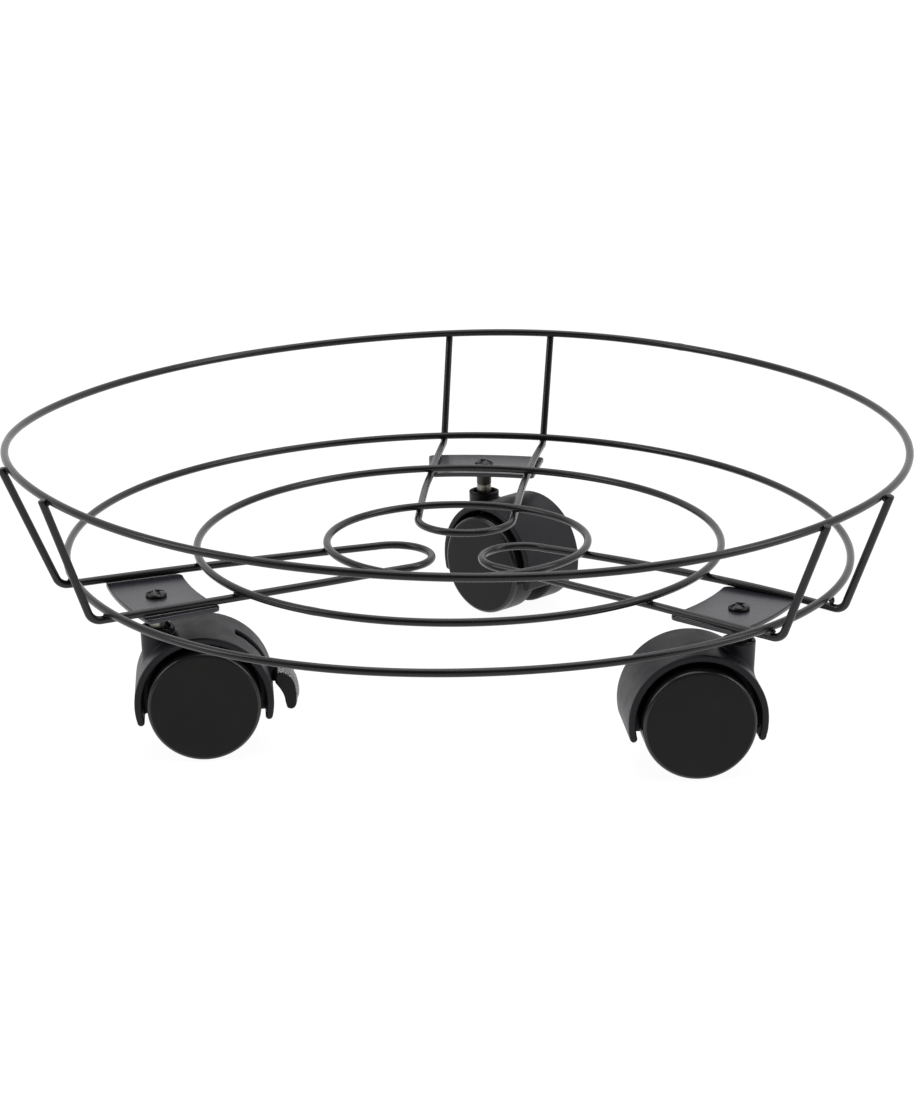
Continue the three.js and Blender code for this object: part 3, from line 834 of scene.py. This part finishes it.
# ------------------------------------------------------------------ hoods
def make_hood_sdf(brake):
    def f(p):
        x, y, z = p[:, 0] - TRAIL, p[:, 1], p[:, 2] - WHEEL_R
        r = np.hypot(x, z)
        mid, half = (FENDER_OUT + FENDER_IN) / 2, (FENDER_OUT - FENDER_IN) / 2
        shell = slab_sdf(arc_sdf(x, z, mid, -16.4, 198.8, half), FENDER_HALF, y, 0.7)
        web2 = smax(r - 27.2, smin(-8.0 - z, r - 8.2, 2.0), 0.8)
        web = slab_sdf(web2, 4.6, y, 0.4)
        d = smin(shell, web, 1.1)
        sr = np.hypot(p[:, 0], p[:, 1])
        column = smax(sr - (7.35 - (BOSS_TOP - p[:, 2]) * 0.03), p[:, 2] - BOSS_TOP, 0.45)
        column = smax(column, FENDER_IN + 0.5 - r, 0.4)
        column = np.maximum(column, 26.0 - p[:, 2])
        d = smin(d, column, 1.3)
        cup = smax(sr - 5.75, BOSS_TOP - 2.6 - p[:, 2], 0.5)
        bore = smax(sr - 3.85, 28.0 - p[:, 2], 0.2)
        bore = np.minimum(bore, np.maximum(sr - 4.75, np.abs(p[:, 2] - 49.2) - 1.0))   # groove for the stem clip
        d = smax(d, -smin(cup, bore, 0.3), 0.35)
        # four keying notches inside the lip of the stem socket
        ang = np.arctan2(p[:, 1], p[:, 0])
        for a0 in (-2.2, -0.75, 0.9, 2.5):
            da = (ang - a0 + math.pi) % (2 * math.pi) - math.pi
            notch = smax(np.abs(da * 6.4) - 0.65, BOSS_TOP - 1.25 - p[:, 2], 0.2)
            notch = smax(np.maximum(notch, 5.0 - sr), sr - 6.7, 0.2)
            d = smax(d, -notch, 0.25)
        axle = smax(r - 2.7, np.abs(y) - 8.0, 0.1)
        d = smax(d, -axle, 0.2)
        if brake:
            deg = np.degrees(np.arctan2(z, x))
            slot2 = np.maximum(np.maximum(12.0 - r, r - 34.0), np.maximum((deg - 61.5), (1.0 - deg)) * r * math.pi / 180)
            slot = smax(slot2, np.abs(y) - 3.2, 0.3)
            slot = np.maximum(slot, 12.4 - x)
            d = smax(d, -slot, 0.3)
        return d
    return f


def hood_mesh(brake):
    return surface_net(make_hood_sdf(brake), (-12.5, -18.5, 12.0), (50.5, 18.5, BOSS_TOP + 2.5), 0.62)


# ------------------------------------------------------------------ wheels
def wheel_profile():
    o, i, R = WHEEL_OUT, WHEEL_IN, WHEEL_R
    pts = [(0, o - 0.05), (12.0, o - 0.03), (21.6, o), (22.5, o - 0.06), (22.95, o - 0.2), (23.35, o - 0.48), (23.66, o - 0.88), (23.87, o - 1.4),
           (23.97, o - 2.0), (R, o - 2.8), (R, i + 2),
           (R - 0.05, i + 1.2), (R - 0.35, i + 0.5), (R - 1.0, i + 0.08), (R - 2.2, i), (6.0, i), (5.4, i + 0.1), (3.3, i + 0.1), (2.8, i + 0.5), (2.8, 17.4), (0, 17.4)]
    return pts


# ------------------------------------------------------------------ brake lever
PIN_X, PIN_Z = 19.0, 6.0
TAB_HALF = 6.5
ARM = [(PIN_X - 3.0, PIN_Z - 1.4), (PIN_X - 1.0, PIN_Z - 3.1), (PIN_X + 3.0, PIN_Z - 2.7), (28.6, 4.0), (32.5, 4.6),
       (34.2, 7.6), (31.6, 10.8), (28.0, 11.0), (PIN_X + 2.0, PIN_Z + 3.6), (PIN_X - 2.0, PIN_Z + 2.4)]
TAB = [(29.5, 5.7), (30.6, 9.4), (34.0, 9.2), (37.2, 6.9), (38.9, 3.5), (39.5, -0.8), (39.3, -4.6), (38.8, -6.9), (37.3, -8.0),
       (35.8, -7.7), (34.9, -5.2), (34.4, -1.4), (32.1, 2.7)]


def soft_outline(pts, r):
    """The outline with its corners cut twice, so a slab of it bends smoothly."""
    p = np.array(pts, float)
    for _ in range(r):
        q = np.roll(p, -1, 0)
        p = np.stack([0.75 * p + 0.25 * q, 0.25 * p + 0.75 * q], 1).reshape(-1, 2)
    return [tuple(v) for v in p]


TAB_SOFT = soft_outline(TAB, 2)
ARM_SOFT = soft_outline(ARM, 1)
KNURL_C = (30.5, -2.5)


def lever_sdf(p):
    x, y, z = p[:, 0], p[:, 1], p[:, 2]
    arm = slab_sdf(poly_sdf(x, z, ARM_SOFT) - 0.25, 2.7, y, 0.4)
    crown = 0.7 * (y / TAB_HALF) ** 2
    an = np.arctan2(z - KNURL_C[1], x - KNURL_C[0])
    rr = np.hypot(x - KNURL_C[0], z - KNURL_C[1])
    outer = np.clip((rr - 6.6) / 1.2, 0, 1)
    tab = slab_sdf(poly_sdf(x, z, TAB_SOFT) - 0.45 + crown * outer, TAB_HALF, y, 0.7)
    d = smin(arm, tab, 1.0)
    # raised pyramids on the outer face
    s = an * 10.3
    a, b = (s + y) / 1.9, (s - y) / 1.9
    tri = lambda q: 1 - 2 * np.abs(q - np.floor(q) - 0.5)
    k = np.minimum(tri(a), tri(b))
    ends = np.clip((an + 0.12) / 0.12, 0, 1) * np.clip((1.3 - an) / 0.1, 0, 1) * np.clip((TAB_HALF - 0.5 - np.abs(y)) / 0.3, 0, 1)
    d = d - 1.25 * (k - 0.3) * ends * np.clip((rr - 8.0) / 0.5, 0, 1)
    pin = np.hypot(x - PIN_X, z - PIN_Z) - 1.65
    return smax(d, -pin, 0.15)


# ------------------------------------------------------------------ build everything
pl_v, pl_f = plate_mesh()
sc_v, sc_f = surface_net(screw_sdf, (-5.4, -5.4, PLATE_Z1 - 4.6), (5.4, 5.4, PLATE_Z1 + 3.4), 0.24)
st_v, st_f = lathe(stem_profile(PLATE_Z0 - 0.05), 64)
wh_v, wh_f = lathe(wheel_profile(), 128)
hood_plain = hood_mesh(False)
hood_brake = hood_mesh(True)
ax_v, ax_f = lathe(rounded([(0, -17.0), (2.5, -17.0), (2.5, 17.0), (0, 17.0)], 0.4), 40)
lv_v, lv_f = surface_net(lever_sdf, (14.5, -7.8, -10.0), (42.5, 7.8, 11.0), 0.24)

def on_grip_highlight(c):
    """Raised knurl points on the lever's outer face, which get the light grip colour as a painted highlight; the
    grooves and the far end of the tab keep the dark lever colour as painted shade.
    """
    a = math.atan2(c[2] - KNURL_C[1], c[0] - KNURL_C[0])
    s = a * 10.3
    tri = lambda q: 1 - 2 * abs(q - math.floor(q) - 0.5)
    high = min(tri((s + c[1]) / 1.9), tri((s - c[1]) / 1.9)) > 0.2
    return high and -0.1 < a < 1.5 and math.hypot(c[0] - KNURL_C[0], c[2] - KNURL_C[1]) > 8.2 and abs(c[1]) < TAB_HALF - 0.25


def on_edge_highlight(c):
    """The rounded outer corner of a wheel, which gets a lighter base colour as a painted highlight, together with lower
    roughness and stronger specular.
    """
    return math.hypot(c[0], c[1]) > 22.2 and WHEEL_OUT - 2.6 < c[2] < WHEEL_OUT - 0.02


for name in CASTERS:
    am = arm_frame(name)
    weld_v, weld_f = welds(name)
    arm_v, arm_f = tube(arm_points(name), WIRE_R, 20)
    sm = swivel_frame(name)
    put("arm_" + name, arm_v, arm_f, M_WIRE, "frame", ["arm_wire_" + name], am)
    put("welds_" + name, weld_v, weld_f, M_WIRE, "frame", (), am)
    push = am @ np.array([[1, 0, 0, PLATE_PUSH[name][0]], [0, PLATE_PUSH[name][2], 0, PLATE_PUSH[name][1]], [0, 0, 1, 0], [0, 0, 0, 1.0]])
    put("plate_" + name, pl_v, pl_f, M_PLATE, "frame", ["caster_plate_" + name], push, flat=(0, 0, 1))
    put("screw_" + name, sc_v, sc_f, M_SCREW, "frame", ["plate_screw_" + name], sm)
    put("swivel_pin_" + name, st_v, st_f, M_STEM, "frame", ["stem_" + name], sm)
    hv, hf = hood_brake if name == "left" else hood_plain
    put("caster_hood_" + name, hv, hf, M_HOOD, "caster_" + name, ["hood_" + name], sm)
    # wheels and axle turn about the axle: local Z of the turned shapes becomes the axle direction
    wm = sm @ np.array([[1, 0, 0, TRAIL], [0, 0, 1, 0], [0, -1, 0, WHEEL_R], [0, 0, 0, 1.0]])
    put("axle_pin_" + name, ax_v, ax_f, M_SPRING, "caster_" + name, ["axle_" + name], wm)
    put("roller_" + name + "_a", wh_v, wh_f, M_WHEEL, "wheel_" + name + "_a", ["wheel_" + name + "_a"], wm, second=(M_WHEEL_EDGE_HIGHLIGHT, on_edge_highlight))
    flip = np.diag([1.0, -1.0, -1.0, 1.0])
    put("roller_" + name + "_b", wh_v, wh_f, M_WHEEL, "wheel_" + name + "_b", ["wheel_" + name + "_b"], wm @ flip, second=(M_WHEEL_EDGE_HIGHLIGHT, on_edge_highlight))
    clip = NODES["stem_clip_" + name]
    clip.data.materials.clear()
    clip.data.materials.append(M_SPRING)
    if name == "left":
        lm = sm @ np.array([[1, 0, 0, TRAIL], [0, 1, 0, 0], [0, 0, 1, WHEEL_R], [0, 0, 0, 1.0]])
        put("toe_lever", lv_v, lv_f, M_LEVER, "brake_lever", ["brake_lever"], lm, second=(M_GRIP_HIGHLIGHT, on_grip_highlight))
        pin = NODES["brake_pin"]
        pin.data.materials.clear()
        pin.data.materials.append(M_SPRING)

# ------------------------------------------------------------------ camera
FOCAL_PX, ELEV, DIST, ROLL, CX, CY = 2739.4, 17.396, 1211.4, -0.333, 459.4, 539.3
AZ = math.radians(-85.0)
el = math.radians(ELEV)
target = np.array([CENTRE[0], CENTRE[1], RING_Z])
cam_at = target + DIST * np.array([math.cos(el) * math.cos(AZ), math.cos(el) * math.sin(AZ), math.sin(el)])
fwd = (target - cam_at) / np.linalg.norm(target - cam_at)
right = np.array([-math.sin(AZ), math.cos(AZ), 0.0])
up = np.cross(right, fwd)
ro = math.radians(ROLL)
r2, u2 = math.cos(ro) * right + math.sin(ro) * up, -math.sin(ro) * right + math.cos(ro) * up
cam_data = bpy.data.cameras.new("camera")
cam_data.sensor_width = 36.0
cam_data.sensor_fit = "AUTO"
cam_data.lens = FOCAL_PX * 36.0 / 1109.0
cam_data.shift_x = -(CX - 457.5) / 1109.0
cam_data.shift_y = (CY - 554.5) / 1109.0
cam_data.clip_start, cam_data.clip_end = 0.05, 50.0
cam = bpy.data.objects.new("camera", cam_data)
m = Matrix.Identity(4)
for i in range(3):
    m[i][0], m[i][1], m[i][2], m[i][3] = r2[i], u2[i], -fwd[i], cam_at[i] * MM
cam.matrix_world = m
bpy.context.scene.collection.objects.link(cam)
bpy.context.scene.camera = cam

# ------------------------------------------------------------------ floor and light
fm, nt, p, v = material("floor_white")
nt.links.new(ramp(nt, noise(nt, v, 3.0, 2.0), [(0.3, (0.10, 0.10, 0.10)), (0.7, (0.11, 0.11, 0.11))]), p.inputs["Base Color"])
p.inputs["Emission Color"].default_value = (1.0, 1.0, 1.0, 1.0)
p.inputs["Emission Strength"].default_value = 0.95
p.inputs["Roughness"].default_value = 0.9
p.inputs["Specular IOR Level"].default_value = 0.0
me = bpy.data.meshes.new("floor")
S = 30.0
me.from_pydata([(-S, -S, -0.0002), (S, -S, -0.0002), (S, S, -0.0002), (-S, S, -0.0002)], [], [(0, 1, 2, 3)])
me.materials.append(fm)
floor = bpy.data.objects.new("floor", me)
bpy.context.scene.collection.objects.link(floor)

world = bpy.data.worlds.new("studio")
bpy.context.scene.world = world
world.use_nodes = True
wn = world.node_tree
wn.nodes.clear()
wo = wn.nodes.new("ShaderNodeOutputWorld")
bg = wn.nodes.new("ShaderNodeBackground")
bg.inputs["Color"].default_value = (1.0, 1.0, 1.0, 1.0)
bg.inputs["Strength"].default_value = 1.0
# bright studio wall behind the object, darker room in front of it
wt = wn.nodes.new("ShaderNodeTexCoord")
ws = wn.nodes.new("ShaderNodeSeparateXYZ")
wn.links.new(wt.outputs["Generated"], ws.inputs[0])
wr = wn.nodes.new("ShaderNodeValToRGB")
wm = wn.nodes.new("ShaderNodeMapRange")
wm.inputs["From Min"].default_value, wm.inputs["From Max"].default_value = -1.0, 1.0
wn.links.new(ws.outputs["Y"], wm.inputs["Value"])
wn.links.new(wm.outputs[0], wr.inputs[0])
el_ = wr.color_ramp.elements
el_[0].position, el_[0].color = 0.18, (0.12, 0.12, 0.12, 1.0)
el_[1].position, el_[1].color = 0.80, (1.0, 1.0, 1.0, 1.0)
wn.links.new(wr.outputs[0], bg.inputs["Color"])
wn.links.new(bg.outputs[0], wo.inputs[0])


def area(name, at, to, size, power, colour=(1, 1, 1)):
    d = bpy.data.lights.new(name, "AREA")
    d.shape = "RECTANGLE"
    d.size, d.size_y = size
    d.energy = power
    d.color = colour
    o = bpy.data.objects.new(name, d)
    o.location = at
    q = (Vector(to) - Vector(at)).to_track_quat("-Z", "Y")
    o.rotation_euler = q.to_euler()
    bpy.context.scene.collection.objects.link(o)
    return o


area("overhead", (0.2, 0.3, 2.2), (0, 0, 0.05), (2.4, 2.0), 26.0)
area("left_strip", (-1.8, -0.6, 1.3), (0, 0, 0.06), (0.8, 1.4), 12.0)
area("right_strip", (1.9, -0.2, 1.2), (0, 0, 0.06), (0.7, 1.3), 10.0)

vs = bpy.context.scene.view_settings
vs.view_transform = "Standard"
vs.look = "None"
vs.exposure = 0.0
vs.gamma = 1.0
